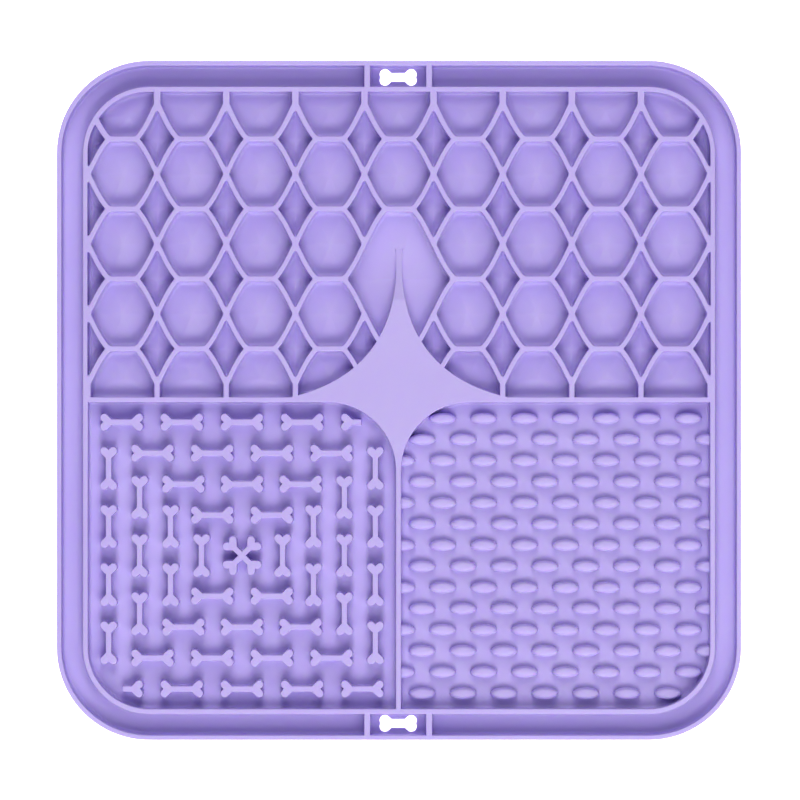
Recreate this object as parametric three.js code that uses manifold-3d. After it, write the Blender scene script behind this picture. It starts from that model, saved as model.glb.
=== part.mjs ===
// A square lick mat of soft silicone, moulded in one piece.
// It lies flat on its plain underside. +X is to the right, +Y runs towards the hexagon half and +Z is up.
// The origin is the middle of the underside, and every size is in millimetres.
import * as THREE from "three";
import { mergeVertices } from "three/addons/utils/BufferGeometryUtils.js";
import Module from "manifold-3d";

const wasm = await Module();
wasm.setup();

// The whole mat, and the floor that lies under every well.
const MAT = { width: 200, depth: 198.5, height: 8, cornerRadius: 27, floor: 2 };

// The outer rim, the gutter inside it and the inner rim that frames the wells.
const BORDER = { outerRim: 1.4, gutter: 6.2, innerRim: 1.5 };

// The hanging slots and the ribs beside them stand a little to the left of the middle.
const HANGER_X = -0.25;

// Short ribs cross the gutter on both sides of each hanging slot.
const GUTTER_RIB = { width: 1.75, fromSlot: 9.05 };

// The bars that part the hexagon half, the bone quarter and the oval quarter.
const DIVIDER = { width: 1.56, y: 0.22, x: -0.17 };

// The star where the dividers meet: its upper flanks, its lower corners and its long upper arm.
// The arm's top slopes down from rampStart to a low nib at its tip. The ramp is wider than the arm.
const STAR = {
  reach: 31.7,
  flankTop: 36.8,
  flankBendX: 2.6,
  flankBendY: 7.8,
  armHalfWidth: 0.9,
  tip: 46.2,
  rampStart: 29,
  rampWidth: 5.4,
  nibHeight: 0.2,
  lowerRadius: 20,
};

// Nine columns of bowed hexagons stand between the rims, with a diamond wherever four of them meet.
// Each column has three whole hexagons, and a half one at each end.
const LATTICE = {
  columns: 9,
  rows: 3,
  pitchY: 20.44,
  middleRowY: 45.76,
  barHalfLength: 4.1,
  rib: 1.5,
  stubRib: 1.9,
  bow: 0.4,
  bowAt: 0.4,
};

// A raised bone: a straight shaft with two round knuckles at each end.
const BONE = { length: 12.6, width: 5.06, shaft: 1.7, knuckleRadius: 1.2, height: 5 };

// The bones stand on four nested squares. Each row here is one square, from the outside in.
const BONE_SQUARES = [
  { offset: 39.0, across: 5, acrossPitch: 17.6, down: 4, downPitch: 17 },
  { offset: 29.95, across: 4, acrossPitch: 17.45, down: 3, downPitch: 17 },
  { offset: 20.9, across: 3, acrossPitch: 17.15, down: 2, downPitch: 17 },
  { offset: 11.85, across: 2, acrossPitch: 17.4, down: 1, downPitch: 17 },
];

// Domed ovals in staggered rows. The steep wall takes wallShare of an oval's height.
const OVAL = {
  length: 7.5,
  width: 3.3,
  height: 2.8,
  wallShare: 0.75,
  pitchX: 11.99,
  pitchY: 6.195,
  firstX: 0.85,
  firstY: -5.57,
  stagger: 5.96,
  rows: 14,
  perRow: 8,
  sides: 8,
};

// The bone-shaped slots that go right through the gutter's floor, for hanging the mat up.
const SLOT = { length: 10.95, width: 4.96, shaft: 2.6, knuckleRadius: 1.62 };

const SILICONE = { color: 0xb9a6ec, roughness: 0.55, metalness: 0 };

const CORNER_STEPS = 4; // each quarter circle of the rims gets twice as many edges
const STAR_STEPS = 8; // edges along each upper flank of the star
const SMALL_STEPS = 1; // each knuckle's round gets twice as many edges
const SINK = 1; // how far a cutter runs past the face that it opens
const WELD = 1e-4;

// Sizes that follow from the ones above.
const halfWidth = MAT.width / 2;
const halfDepth = MAT.depth / 2;
const gutterStart = BORDER.outerRim;
const gutterEnd = gutterStart + BORDER.gutter;
const wellStart = gutterEnd + BORDER.innerRim;
const well = {
  left: wellStart - halfWidth,
  right: halfWidth - wellStart,
  front: wellStart - halfDepth,
  back: halfDepth - wellStart,
  radius: MAT.cornerRadius - wellStart,
};
const dividerBack = DIVIDER.y + DIVIDER.width / 2;
const dividerFront = DIVIDER.y - DIVIDER.width / 2;
const dividerLeft = DIVIDER.x - DIVIDER.width / 2;
const dividerRight = DIVIDER.x + DIVIDER.width / 2;
const pitchX = (well.right - well.left) / LATTICE.columns;
const halfPitchX = pitchX / 2;
const halfPitchY = LATTICE.pitchY / 2;
const endRow = (LATTICE.rows + 1) / 2;
const boneMiddle = {
  x: (well.left + dividerLeft) / 2,
  y: (well.front + dividerFront) / 2,
};

const point = (x, y) => new THREE.Vector2(x, y);
const spread = (count) => Array.from({ length: count }, (_, i) => i - (count - 1) / 2);

// A closed geometry as a solid that can be joined and cut.
function solidOf(geometry) {
  geometry.deleteAttribute("normal");
  geometry.deleteAttribute("uv");
  const { attributes, index } = mergeVertices(geometry, WELD);
  const triVerts = new Uint32Array(index.array);
  return new wasm.Manifold(
    new wasm.Mesh({ numProp: 3, vertProperties: attributes.position.array, triVerts }),
  );
}

// A solid as a geometry with flat faces.
function geometryOf(solid) {
  const { numProp, vertProperties, triVerts } = solid.getMesh();
  const indexed = new THREE.BufferGeometry()
    .setAttribute("position", new THREE.BufferAttribute(vertProperties, numProp))
    .setIndex(new THREE.BufferAttribute(triVerts, 1));
  const flat = indexed.toNonIndexed();
  flat.computeVertexNormals();
  return flat;
}

const joined = (solids) => solids.reduce((sum, solid) => sum.add(solid));

// A shape drawn in plan, as a geometry that stands between two heights.
function prism(shape, bottom, top, curveSegments = SMALL_STEPS) {
  const options = { depth: top - bottom, bevelEnabled: false, curveSegments };
  return new THREE.ExtrudeGeometry(shape, options).translate(0, 0, bottom);
}

// A hollow that is open at the top of the mat, down to the floor.
const hollow = (shape, curveSegments) =>
  solidOf(prism(shape, MAT.floor, MAT.height + SINK, curveSegments));

// A rectangle in plan, with a radius for each corner, anticlockwise from the front left.
function region({ left, right, front, back }, radii) {
  const [frontLeft, frontRight, backRight, backLeft] = radii;
  const corners = [
    { x: right, y: front, inX: -1, inY: 1, radius: frontRight, start: 1.5 * Math.PI },
    { x: right, y: back, inX: -1, inY: -1, radius: backRight, start: 0 },
    { x: left, y: back, inX: 1, inY: -1, radius: backLeft, start: 0.5 * Math.PI },
    { x: left, y: front, inX: 1, inY: 1, radius: frontLeft, start: Math.PI },
  ];
  // The outline starts along its front side, and each arc draws the straight side up to itself.
  const shape = new THREE.Shape();
  shape.moveTo(left + frontLeft, front);
  shape.lineTo((left + right) / 2, front);
  for (const { x, y, inX, inY, radius, start } of corners) {
    if (radius === 0) shape.lineTo(x, y);
    else shape.absarc(x + inX * radius, y + inY * radius, radius, start, start + Math.PI / 2);
  }
  return shape;
}

// The mat's own outline, moved inwards by a distance.
function border(inwards) {
  const sides = {
    left: inwards - halfWidth,
    right: halfWidth - inwards,
    front: inwards - halfDepth,
    back: halfDepth - inwards,
  };
  return region(sides, Array(4).fill(MAT.cornerRadius - inwards));
}

// A box in plan round a middle point, between two heights.
function block(x, y, width, depth, bottom, top) {
  const geometry = new THREE.BoxGeometry(width, depth, top - bottom);
  return solidOf(geometry.translate(x, y, (bottom + top) / 2));
}

// The gutter, open at the top, less the short ribs that cross it.
function gutterHollow() {
  const ring = hollow(border(gutterStart), CORNER_STEPS).subtract(
    solidOf(prism(border(gutterEnd), 0, MAT.height + 2 * SINK, CORNER_STEPS)),
  );
  const ribs = [-1, 1].map((side) => {
    const x = HANGER_X + side * GUTTER_RIB.fromSlot;
    return block(x, 0, GUTTER_RIB.width, MAT.depth, 0, MAT.height + 2 * SINK);
  });
  return ring.subtract(joined(ribs));
}

// The hexagon half in plan, without the star that stands in it.
function latticeRegion() {
  const { reach, flankTop, flankBendX, flankBendY, armHalfWidth, tip } = STAR;
  const { left, right, back, radius } = well;
  const shape = new THREE.Shape();
  shape.moveTo(reach, dividerBack);
  shape.lineTo(right, dividerBack);
  shape.absarc(right - radius, back - radius, radius, 0, Math.PI / 2);
  shape.absarc(left + radius, back - radius, radius, Math.PI / 2, Math.PI);
  shape.lineTo(left, dividerBack);
  shape.lineTo(-reach, dividerBack);
  shape.quadraticCurveTo(-flankBendX, flankBendY, -armHalfWidth, flankTop);
  shape.lineTo(-armHalfWidth, tip);
  shape.lineTo(armHalfWidth, tip);
  shape.lineTo(armHalfWidth, flankTop);
  shape.quadraticCurveTo(flankBendX, flankBendY, reach, dividerBack);
  return shape;
}

// The hexagon that a slanting rib belongs to is the one whose middle is nearest.
function nearestHexagon({ x, y }) {
  const row = Math.round((y - LATTICE.middleRowY) / LATTICE.pitchY);
  return point(Math.round(x / pitchX) * pitchX, LATTICE.middleRowY + row * LATTICE.pitchY);
}

// The corners of a cell along the middles of its ribs, with each slanting rib bowed out of its hexagon.
function bowed(corners) {
  return corners.flatMap((from, i) => {
    const to = corners[(i + 1) % corners.length];
    const along = to.clone().sub(from);
    if (Math.abs(along.x) < WELD || Math.abs(along.y) < WELD) return [from];
    const middle = from.clone().lerp(to, 0.5);
    const outwards = middle.clone().sub(nearestHexagon(middle));
    const across = point(-along.y, along.x).normalize();
    const side = Math.sign(across.dot(outwards));
    // The bow is fullest near the bar, which is the end that lies off the hexagon's middle row.
    const atBar = Math.abs(from.y - nearestHexagon(middle).y) > halfPitchY / 2;
    const place = atBar ? LATTICE.bowAt : 1 - LATTICE.bowAt;
    return [from, from.clone().lerp(to, place).addScaledVector(across, side * LATTICE.bow)];
  });
}

// An anticlockwise outline moved inwards by a distance.
function inset(outline, distance) {
  return outline.map((corner, i) => {
    const arriving = corner.clone().sub(outline.at(i - 1)).normalize();
    const leaving = outline[(i + 1) % outline.length].clone().sub(corner).normalize();
    const inwards = point(-arriving.y - leaving.y, arriving.x + leaving.x);
    return corner.clone().addScaledVector(inwards, distance / (1 + arriving.dot(leaving)));
  });
}

const cell = (corners) => hollow(new THREE.Shape(inset(bowed(corners), LATTICE.rib / 2)));

function hexagon(x, y) {
  const bar = LATTICE.barHalfLength;
  return cell([
    point(x - bar, y - halfPitchY),
    point(x + bar, y - halfPitchY),
    point(x + halfPitchX, y),
    point(x + bar, y + halfPitchY),
    point(x - bar, y + halfPitchY),
    point(x - halfPitchX, y),
  ]);
}

function diamond(x, y) {
  const half = halfPitchX - LATTICE.barHalfLength;
  return cell([
    point(x, y - halfPitchY),
    point(x + half, y),
    point(x, y + halfPitchY),
    point(x - half, y),
  ]);
}

// Half a hexagon whose straight sides run on into the back rim.
function backCell(x, y) {
  const bar = LATTICE.barHalfLength;
  const side = halfPitchX - (LATTICE.stubRib - LATTICE.rib) / 2;
  return cell([
    point(x - bar, y - halfPitchY),
    point(x + bar, y - halfPitchY),
    point(x + side, y),
    point(x + side, halfDepth),
    point(x - side, halfDepth),
    point(x - side, y),
  ]);
}

// Half a hexagon whose straight sides run on into the divider or the star.
function frontCell(x, y) {
  const bar = LATTICE.barHalfLength;
  return cell([
    point(x + bar, y + halfPitchY),
    point(x - bar, y + halfPitchY),
    point(x - halfPitchX, y),
    point(x - halfPitchX, -halfPitchY),
    point(x + halfPitchX, -halfPitchY),
    point(x + halfPitchX, y),
  ]);
}

// The tall cell round the star's upper arm.
// It is two hexagons and the two diamonds beside them, with no ribs between.
function armCell() {
  const bar = LATTICE.barHalfLength;
  const [low, high] = [LATTICE.middleRowY - LATTICE.pitchY, LATTICE.middleRowY];
  const rightSide = [
    point(bar, low - halfPitchY),
    point(halfPitchX, low),
    point(pitchX - bar, low + halfPitchY),
    point(halfPitchX, high),
    point(bar, high + halfPitchY),
  ];
  const leftSide = rightSide.map(({ x, y }) => point(-x, y)).reverse();
  return cell([...rightSide, ...leftSide]);
}

function latticeHollows() {
  const cells = [armCell()];
  for (const column of spread(LATTICE.columns)) {
    const x = column * pitchX;
    for (const row of spread(LATTICE.rows)) {
      const inArmCell = column === 0 && row < 1;
      if (!inArmCell) cells.push(hexagon(x, LATTICE.middleRowY + row * LATTICE.pitchY));
    }
    cells.push(backCell(x, LATTICE.middleRowY + endRow * LATTICE.pitchY));
    if (column !== 0) cells.push(frontCell(x, LATTICE.middleRowY - endRow * LATTICE.pitchY));
  }
  for (const column of spread(LATTICE.columns + 1)) {
    for (const row of spread(LATTICE.rows + 1)) {
      const inArmCell = Math.abs(column) < 1 && row === -0.5;
      if (!inArmCell) cells.push(diamond(column * pitchX, LATTICE.middleRowY + row * LATTICE.pitchY));
    }
  }
  return joined(cells).intersect(hollow(latticeRegion(), STAR_STEPS));
}

// The wedge that is cut off the top of the star's upper arm.
function armRamp() {
  const { rampStart, rampWidth, tip, nibHeight } = STAR;
  const side = new THREE.Shape([
    point(rampStart, MAT.height),
    point(tip, MAT.floor + nibHeight),
    point(tip + SINK, MAT.floor + nibHeight),
    point(tip + SINK, MAT.height + SINK),
    point(rampStart, MAT.height + SINK),
  ]);
  // The side view's x is the mat's y, and its y is the mat's z.
  const turned = new THREE.Matrix4().set(0, 0, 1, 0, 1, 0, 0, 0, 0, 1, 0, 0, 0, 0, 0, 1);
  return solidOf(prism(side, -rampWidth / 2, rampWidth / 2).applyMatrix4(turned));
}

// A bone in plan, along X. Its knuckles sit on arms at 45 degrees, with a notch between each two.
function boneShape({ length, width, shaft, knuckleRadius: radius }) {
  const [x, y] = [length / 2 - radius, width / 2 - radius];
  const neck = x - y - Math.SQRT2 * radius + shaft / 2;
  // Knuckles that overlap meet on the bone's middle line before their arms do.
  const inner = Math.min(Math.PI / 4, Math.asin(Math.min(1, y / radius)));
  const notch = x + radius * (Math.cos(inner) + Math.sin(inner)) - y;
  const shape = new THREE.Shape();
  shape.moveTo(-neck, -shaft / 2);
  shape.lineTo(neck, -shaft / 2);
  shape.absarc(x, -y, radius, -0.75 * Math.PI, inner);
  shape.lineTo(notch, 0);
  shape.absarc(x, y, radius, -inner, 0.75 * Math.PI);
  shape.lineTo(neck, shaft / 2);
  shape.lineTo(-neck, shaft / 2);
  shape.absarc(-x, y, radius, 0.25 * Math.PI, Math.PI + inner);
  shape.lineTo(-notch, 0);
  shape.absarc(-x, -y, radius, Math.PI - inner, 1.75 * Math.PI);
  return shape;
}

// A raised bone, turned in plan and moved to its place. A cut bone keeps only one half of its length.
function bone(x, y, turn = 0, keep = 0) {
  const bottom = MAT.floor - SINK;
  const geometry = prism(boneShape(BONE), bottom, MAT.floor + BONE.height);
  const whole = solidOf(geometry.rotateZ(turn).translate(x, y, 0));
  if (keep === 0) return whole;
  const lost = block(x - keep * BONE.length / 2, y, BONE.length, BONE.length, 0, MAT.height);
  return whole.subtract(lost);
}

function bones() {
  const standing = [
    bone(boneMiddle.x, boneMiddle.y, Math.PI / 4),
    bone(boneMiddle.x, boneMiddle.y, -Math.PI / 4),
  ];
  const outermost = BONE_SQUARES[0].offset;
  for (const { offset, across, acrossPitch, down, downPitch } of BONE_SQUARES) {
    for (const side of [-1, 1]) {
      for (const step of spread(across)) {
        // Only half a bone fits at the front left corner and beside the star.
        const atCorner = offset === outermost && step * side === (across - 1) / 2;
        const keep = atCorner ? -Math.sign(step) : 0;
        const x = boneMiddle.x + step * acrossPitch;
        standing.push(bone(x, boneMiddle.y + side * offset, 0, keep));
      }
      for (const step of spread(down)) {
        const x = boneMiddle.x + side * offset;
        standing.push(bone(x, boneMiddle.y + step * downPitch, Math.PI / 2));
      }
    }
  }
  return joined(standing);
}

function boneHollow() {
  const sides = { ...well, right: dividerLeft, back: dividerFront };
  const tray = hollow(region(sides, [well.radius, 0, STAR.lowerRadius, 0]), CORNER_STEPS);
  return tray.subtract(bones());
}

// One oval: a steep wall that starts under the floor, and a low crown.
function oval(x, y) {
  const profile = [
    point(0, -SINK / OVAL.height),
    point(1, -SINK / OVAL.height),
    point(1, OVAL.wallShare),
    point(0, 1),
  ];
  const dome = new THREE.LatheGeometry(profile, OVAL.sides).rotateX(Math.PI / 2);
  dome.scale(OVAL.length / 2, OVAL.width / 2, OVAL.height);
  return solidOf(dome.translate(x, y, MAT.floor));
}

function ovalHollow() {
  const domes = [];
  for (let row = 0; row < OVAL.rows; row++) {
    const first = OVAL.firstX + (row % 2) * OVAL.stagger;
    for (let i = 0; i < OVAL.perRow; i++)
      domes.push(oval(first + i * OVAL.pitchX, OVAL.firstY - row * OVAL.pitchY));
  }
  const sides = { ...well, left: dividerRight, back: dividerFront };
  const tray = hollow(region(sides, [0, well.radius, 0, STAR.lowerRadius]), CORNER_STEPS);
  return tray.subtract(joined(domes));
}

// The two hanging slots, cut through the floor in the middle of the gutter.
function slots() {
  const middle = halfDepth - (gutterStart + gutterEnd) / 2;
  const cuts = [-1, 1].map((side) =>
    solidOf(prism(boneShape(SLOT), -SINK, MAT.height).translate(HANGER_X, side * middle, 0)),
  );
  return joined(cuts);
}

function mat() {
  const hollows = [
    gutterHollow(),
    latticeHollows(),
    armRamp(),
    boneHollow(),
    ovalHollow(),
    slots(),
  ];
  const solid = solidOf(prism(border(0), 0, MAT.height, CORNER_STEPS)).subtract(joined(hollows));
  const mesh = new THREE.Mesh(geometryOf(solid), new THREE.MeshStandardMaterial(SILICONE));
  mesh.name = "mat";
  return mesh;
}

const lickMat = new THREE.Group();
lickMat.add(mat());

export default lickMat;
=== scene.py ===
"""A moulded silicone lick mat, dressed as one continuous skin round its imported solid.

Sizes are in millimetres until the skin is finished, when it is scaled to metres. X runs to the
right, Y runs towards the hexagon half and Z is up. The origin is the middle of the underside.
"""

import logging
import math
from dataclasses import dataclass, field
from enum import Enum
from typing import Iterable, Iterator, Self

import bmesh
import bpy
from mathutils import Matrix, Vector


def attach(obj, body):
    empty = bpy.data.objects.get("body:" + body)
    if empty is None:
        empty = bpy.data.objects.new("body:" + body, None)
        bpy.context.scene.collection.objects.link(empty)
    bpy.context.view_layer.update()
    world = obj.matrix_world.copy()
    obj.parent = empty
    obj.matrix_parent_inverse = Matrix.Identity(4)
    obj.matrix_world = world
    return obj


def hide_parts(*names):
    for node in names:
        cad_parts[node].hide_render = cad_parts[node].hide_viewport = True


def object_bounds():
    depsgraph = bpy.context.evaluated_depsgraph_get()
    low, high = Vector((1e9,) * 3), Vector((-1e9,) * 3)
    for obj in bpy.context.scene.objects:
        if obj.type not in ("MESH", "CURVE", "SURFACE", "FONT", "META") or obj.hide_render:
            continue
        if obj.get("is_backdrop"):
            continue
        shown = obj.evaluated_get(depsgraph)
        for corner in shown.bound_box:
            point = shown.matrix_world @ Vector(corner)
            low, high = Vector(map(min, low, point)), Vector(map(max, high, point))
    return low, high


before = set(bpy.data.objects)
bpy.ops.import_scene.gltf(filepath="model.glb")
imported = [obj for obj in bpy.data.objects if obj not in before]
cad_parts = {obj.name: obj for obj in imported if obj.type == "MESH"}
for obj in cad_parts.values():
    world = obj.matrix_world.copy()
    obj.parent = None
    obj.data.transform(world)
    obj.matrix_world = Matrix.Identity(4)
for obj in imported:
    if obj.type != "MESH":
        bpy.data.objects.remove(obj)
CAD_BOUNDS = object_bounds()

LOG = logging.getLogger("lick_mat")
MM = 0.001
BODY = "root"
NODE = "mat"

# How far a tool solid runs past the face that it opens or sinks into, and the lip that keeps
# its rounded edge clear of that face's own plane.
OVERRUN = 1.0
LIP = 0.004

# The number of edges in a rounded edge or a small foot, and in the foot of a tall wall.
EDGE_STEPS = 3
FOOT_STEPS = 4

# A point this close to an axis is on it, and one this close to a cutting plane is on that.
SPECK = 1e-6
ON_PLANE = 1e-5

# A side that leaves its axis by less than this is straight.
STRAIGHT = 1e-4

# Corners of a clipped outline that are closer than this become one, and a clipped outline with
# less than this area is left out.
CLOSEST = 0.05
SLIVER = 1.0

# An outline that turns by more than this has a corner there, in radians.
CORNER = math.radians(25)

# White light, with its alpha.
WHITE = (1, 1, 1, 1)


class Cut(Enum):
    """How a tool solid changes the skin."""

    ADD = "UNION"
    REMOVE = "DIFFERENCE"
    KEEP = "INTERSECT"


@dataclass(frozen=True)
class Step:
    """One move of a growing face.

    Attributes:
        inwards: how far the face's edge moves inwards.
        along: how far the face moves along its normal.
    """

    inwards: float
    along: float


def leave_flat(radius: float, count: int = EDGE_STEPS) -> list[Step]:
    """Turns from a flat face into a wall on a quarter round.

    Args:
        radius: the round's radius.
        count: the number of steps in it.

    Returns:
        The steps, from the flat face to the wall.
    """
    angles = [math.pi / 2 * i / count for i in range(count + 1)]
    return [
        Step(radius * (math.sin(b) - math.sin(a)), radius * (math.cos(a) - math.cos(b)))
        for a, b in zip(angles, angles[1:])
    ]


def meet_flat(radius: float, count: int = EDGE_STEPS) -> list[Step]:
    """Turns from a wall into a flat face on a quarter round.

    Args:
        radius: the round's radius.
        count: the number of steps in it.

    Returns:
        The steps, from the wall to the flat face.
    """
    return [Step(step.along, step.inwards) for step in leave_flat(radius, count)]


def lowered(steps: Iterable[Step]) -> list[Step]:
    """Returns the same steps, but against the face's normal."""
    return [Step(step.inwards, -step.along) for step in steps]


def raised(
    height: float, foot: float, edge: float, draft: float = 0, foot_steps: int = EDGE_STEPS
) -> list[Step]:
    """Rises from under a floor to a flat top, with a round at the foot and along the top.

    Args:
        height: how far the top stands above the floor.
        foot: the radius where the wall meets the floor.
        edge: the radius along the top.
        draft: how far the wall leans out on its way down.
        foot_steps: the number of edges in the foot's round.

    Returns:
        The steps, from the buried outline to the top.
    """
    wall = height - foot - edge
    return [
        Step(0, OVERRUN),
        *leave_flat(foot, foot_steps),
        Step(draft, wall),
        *meet_flat(edge),
    ]


def sunk(
    depth: float, foot: float, edge: float, draft: float, foot_steps: int = EDGE_STEPS
) -> list[Step]:
    """Sinks from a lip above a flat top to a floor, with a round along the top and at the foot.

    Args:
        depth: how far the floor lies below the top.
        foot: the radius where the wall meets the floor.
        edge: the radius along the top.
        draft: how far the wall leans in on its way down.
        foot_steps: the number of edges in the foot's round.

    Returns:
        The steps, from the lip to the floor.
    """
    wall = depth - edge - foot - LIP
    return [*leave_flat(edge), Step(draft, wall), *meet_flat(foot, foot_steps)]


def arc(middle: Vector, radius: float, start: float, end: float, count: int) -> list[Vector]:
    """Places points along an arc.

    Args:
        middle: the arc's middle.
        radius: the arc's radius.
        start: the first angle, in radians.
        end: the last angle, in radians.
        count: the number of edges.

    Returns:
        The points, one more than the edges.
    """
    angles = [start + (end - start) * i / count for i in range(count + 1)]
    return [middle + radius * Vector((math.cos(a), math.sin(a))) for a in angles]


def spread(count: int) -> list[float]:
    """Returns evenly spaced places about zero, one apart."""
    return [i - (count - 1) / 2 for i in range(count)]


def moved_inwards(outline: list[Vector], distance: float) -> list[Vector]:
    """Moves an anticlockwise outline inwards.

    Args:
        outline: the outline's corners.
        distance: how far each side moves. A negative distance moves it outwards.

    Returns:
        The new corners.
    """
    moved = []
    for i, corner in enumerate(outline):
        arriving = (corner - outline[i - 1]).normalized()
        leaving = (outline[(i + 1) % len(outline)] - corner).normalized()
        inwards = Vector((-arriving.y - leaving.y, arriving.x + leaving.x))
        moved.append(corner + inwards * distance / (1 + arriving.dot(leaving)))
    return moved


@dataclass(frozen=True)
class Sides:
    """An upright rectangle in plan, with a radius for each corner.

    Attributes:
        left: the lowest x.
        right: the highest x.
        front: the lowest y.
        back: the highest y.
        radii: the corner radii, anticlockwise from the front left.
    """

    left: float
    right: float
    front: float
    back: float
    radii: tuple[float, float, float, float]

    def grown(self, distance: float) -> "Sides":
        """Returns the rectangle grown on all its sides, rounded corners with it."""
        return Sides(
            self.left - distance,
            self.right + distance,
            self.front - distance,
            self.back + distance,
            tuple(radius + distance if radius else 0.0 for radius in self.radii),
        )

    def corners(self) -> list[Vector]:
        """Returns the square corners, anticlockwise from the front left."""
        return [
            Vector((self.left, self.front)),
            Vector((self.right, self.front)),
            Vector((self.right, self.back)),
            Vector((self.left, self.back)),
        ]


class Solid:
    """A closed mesh in the making."""

    def __init__(self) -> None:
        """Starts with nothing."""
        self.bm = bmesh.new()

    def split(self, point: Vector, outwards: Vector, clear: bool = False) -> None:
        """Cuts the mesh along an upright plane.

        Args:
            point: a point of the plane in plan.
            outwards: the plane's normal in plan.
            clear: whether what lies beyond the plane is taken away.
        """
        bmesh.ops.bisect_plane(
            self.bm,
            geom=self.bm.verts[:] + self.bm.edges[:] + self.bm.faces[:],
            dist=ON_PLANE,
            plane_co=point.to_3d(),
            plane_no=outwards.to_3d(),
            clear_outer=clear,
        )

    def place(self, matrix: Matrix) -> Self:
        """Turns, sizes or moves the whole mesh."""
        bmesh.ops.transform(self.bm, matrix=matrix, verts=self.bm.verts[:])
        return self


class Piece(Solid):
    """A closed solid that grows step by step from one flat outline."""

    def __init__(self, outline: Iterable[Vector], height: float, up: bool) -> None:
        """Starts the solid as one flat face.

        Args:
            outline: the face's corners in plan, anticlockwise.
            height: the face's height.
            up: whether the face looks up, and the solid grows upwards.
        """
        super().__init__()
        self.up = up
        corners = [self.bm.verts.new((point.x, point.y, height)) for point in outline]
        self.face = self.bm.faces.new(corners if up else corners[::-1])
        self.face.normal_update()
        self.bm.verts.index_update()

    def round_rectangle(self, radii: Iterable[float], segments: int) -> Self:
        """Rounds the four corners of a rectangle in plan.

        Args:
            radii: a radius for each corner, in the outline's order. Zero leaves it sharp.
            segments: the number of edges in each round.

        Returns:
            The piece itself.
        """
        ordered = sorted(self.face.verts, key=lambda vert: vert.index)
        for vert, radius in zip(ordered, radii):
            if radius:
                self._round(vert, radius, segments)
        return self._refresh()

    def clip(self, point: Vector, outwards: Vector) -> Self:
        """Cuts off what lies beyond a line in plan, and merges corners that end up together.

        Args:
            point: a point on the line.
            outwards: the direction that is cut off.

        Returns:
            The piece itself.
        """
        self.split(point, outwards, clear=True)
        bmesh.ops.remove_doubles(self.bm, verts=self.bm.verts[:], dist=CLOSEST)
        return self._refresh()

    def grow(self, steps: Iterable[Step]) -> Self:
        """Rings the face with one row of sides for each step.

        Args:
            steps: the moves, in order.

        Returns:
            The piece itself.
        """
        for step in steps:
            self.face.normal_update()
            bmesh.ops.inset_individual(
                self.bm,
                faces=[self.face],
                thickness=step.inwards,
                depth=step.along,
                use_even_offset=True,
            )
        return self

    def soften(self, radius: float, segments: int) -> Self:
        """Rounds every corner of the outline that turns by more than a bow does.

        Args:
            radius: the radius of each round.
            segments: the number of edges in each round.

        Returns:
            The piece itself.
        """
        turns = [(loop.vert, math.pi - loop.calc_angle()) for loop in self.face.loops]
        for vert, turn in turns:
            if turn > CORNER:
                self._round(vert, radius * math.tan(turn / 2), segments)
        return self._refresh()

    def draw_in(self, steps: Iterable[Step]) -> Self:
        """Rings the face as grow does, but draws it in towards its middle, past tight corners.

        Args:
            steps: the moves, in order.

        Returns:
            The piece itself.
        """
        middle = self.face.calc_center_median_weighted()
        reach = self.reach()
        for step in steps:
            share = (reach - step.inwards) / reach
            reach -= step.inwards
            self._ring(middle, share, step.along)
        return self

    def crown(self, height: float, rings: int) -> Self:
        """Raises the face into a shallow dome that leaves its edge level.

        Args:
            height: how far the middle moves against the face's normal.
            rings: the number of rings in the dome.

        Returns:
            The piece itself.
        """
        self.face.normal_update()
        normal = self.face.normal.copy()
        middle = self.face.calc_center_median_weighted()
        shares = [1 - ring / rings for ring in range(rings + 1)]
        rises = [height * (1 + math.cos(math.pi * share)) / 2 for share in shares]
        for ring in range(1, rings):
            rise = rises[ring] - rises[ring - 1]
            self._ring(middle, shares[ring] / shares[ring - 1], -rise)
        poked = bmesh.ops.poke(self.bm, faces=[self.face])
        poked["verts"][0].co -= normal * (rises[-1] - rises[-2])
        return self

    def _ring(self, middle: Vector, share: float, along: float) -> None:
        """Rings the face once, and shrinks it about its middle.

        Args:
            middle: the face's middle.
            share: the share of its size that it keeps.
            along: how far it moves along its normal.
        """
        self.face.normal_update()
        bmesh.ops.inset_individual(self.bm, faces=[self.face], thickness=0, depth=along)
        bmesh.ops.scale(
            self.bm,
            vec=(share, share, 1),
            space=Matrix.Translation(-middle),
            verts=self.face.verts,
        )

    def close(self) -> Self:
        """Fills the loop that the outline left open, and makes that face the growing one.

        Returns:
            The piece itself.
        """
        rim = [edge for edge in self.bm.edges if edge.is_boundary]
        made = bmesh.ops.holes_fill(self.bm, edges=rim)
        self.face = made["faces"][0]
        self.face.normal_update()
        if (self.face.normal.z > 0) == self.up:
            self.face.normal_flip()
        return self

    def is_gone(self) -> bool:
        """Returns whether clipping has taken all of the face, or left only a sliver."""
        return not self.bm.faces or self.face.calc_area() < SLIVER

    def reach(self) -> float:
        """Returns about how far it is from the face's middle to its nearest side."""
        return 2 * self.face.calc_area() / self.face.calc_perimeter()

    def _round(self, vert: bmesh.types.BMVert, setback: float, segments: int) -> None:
        """Bevels one corner of the outline.

        Args:
            vert: the corner.
            setback: how far from the corner the round starts.
            segments: the number of edges in the round.
        """
        bmesh.ops.bevel(
            self.bm,
            geom=[vert],
            offset=setback,
            offset_type="OFFSET",
            affect="VERTICES",
            segments=segments,
            profile=0.5,
            material=-1,
            clamp_overlap=True,
        )

    def _refresh(self) -> Self:
        """Finds the one face again after an operator has rebuilt it.

        Returns:
            The piece itself.
        """
        self.bm.faces.ensure_lookup_table()
        if self.bm.faces:
            self.face = self.bm.faces[0]
        return self


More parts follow.
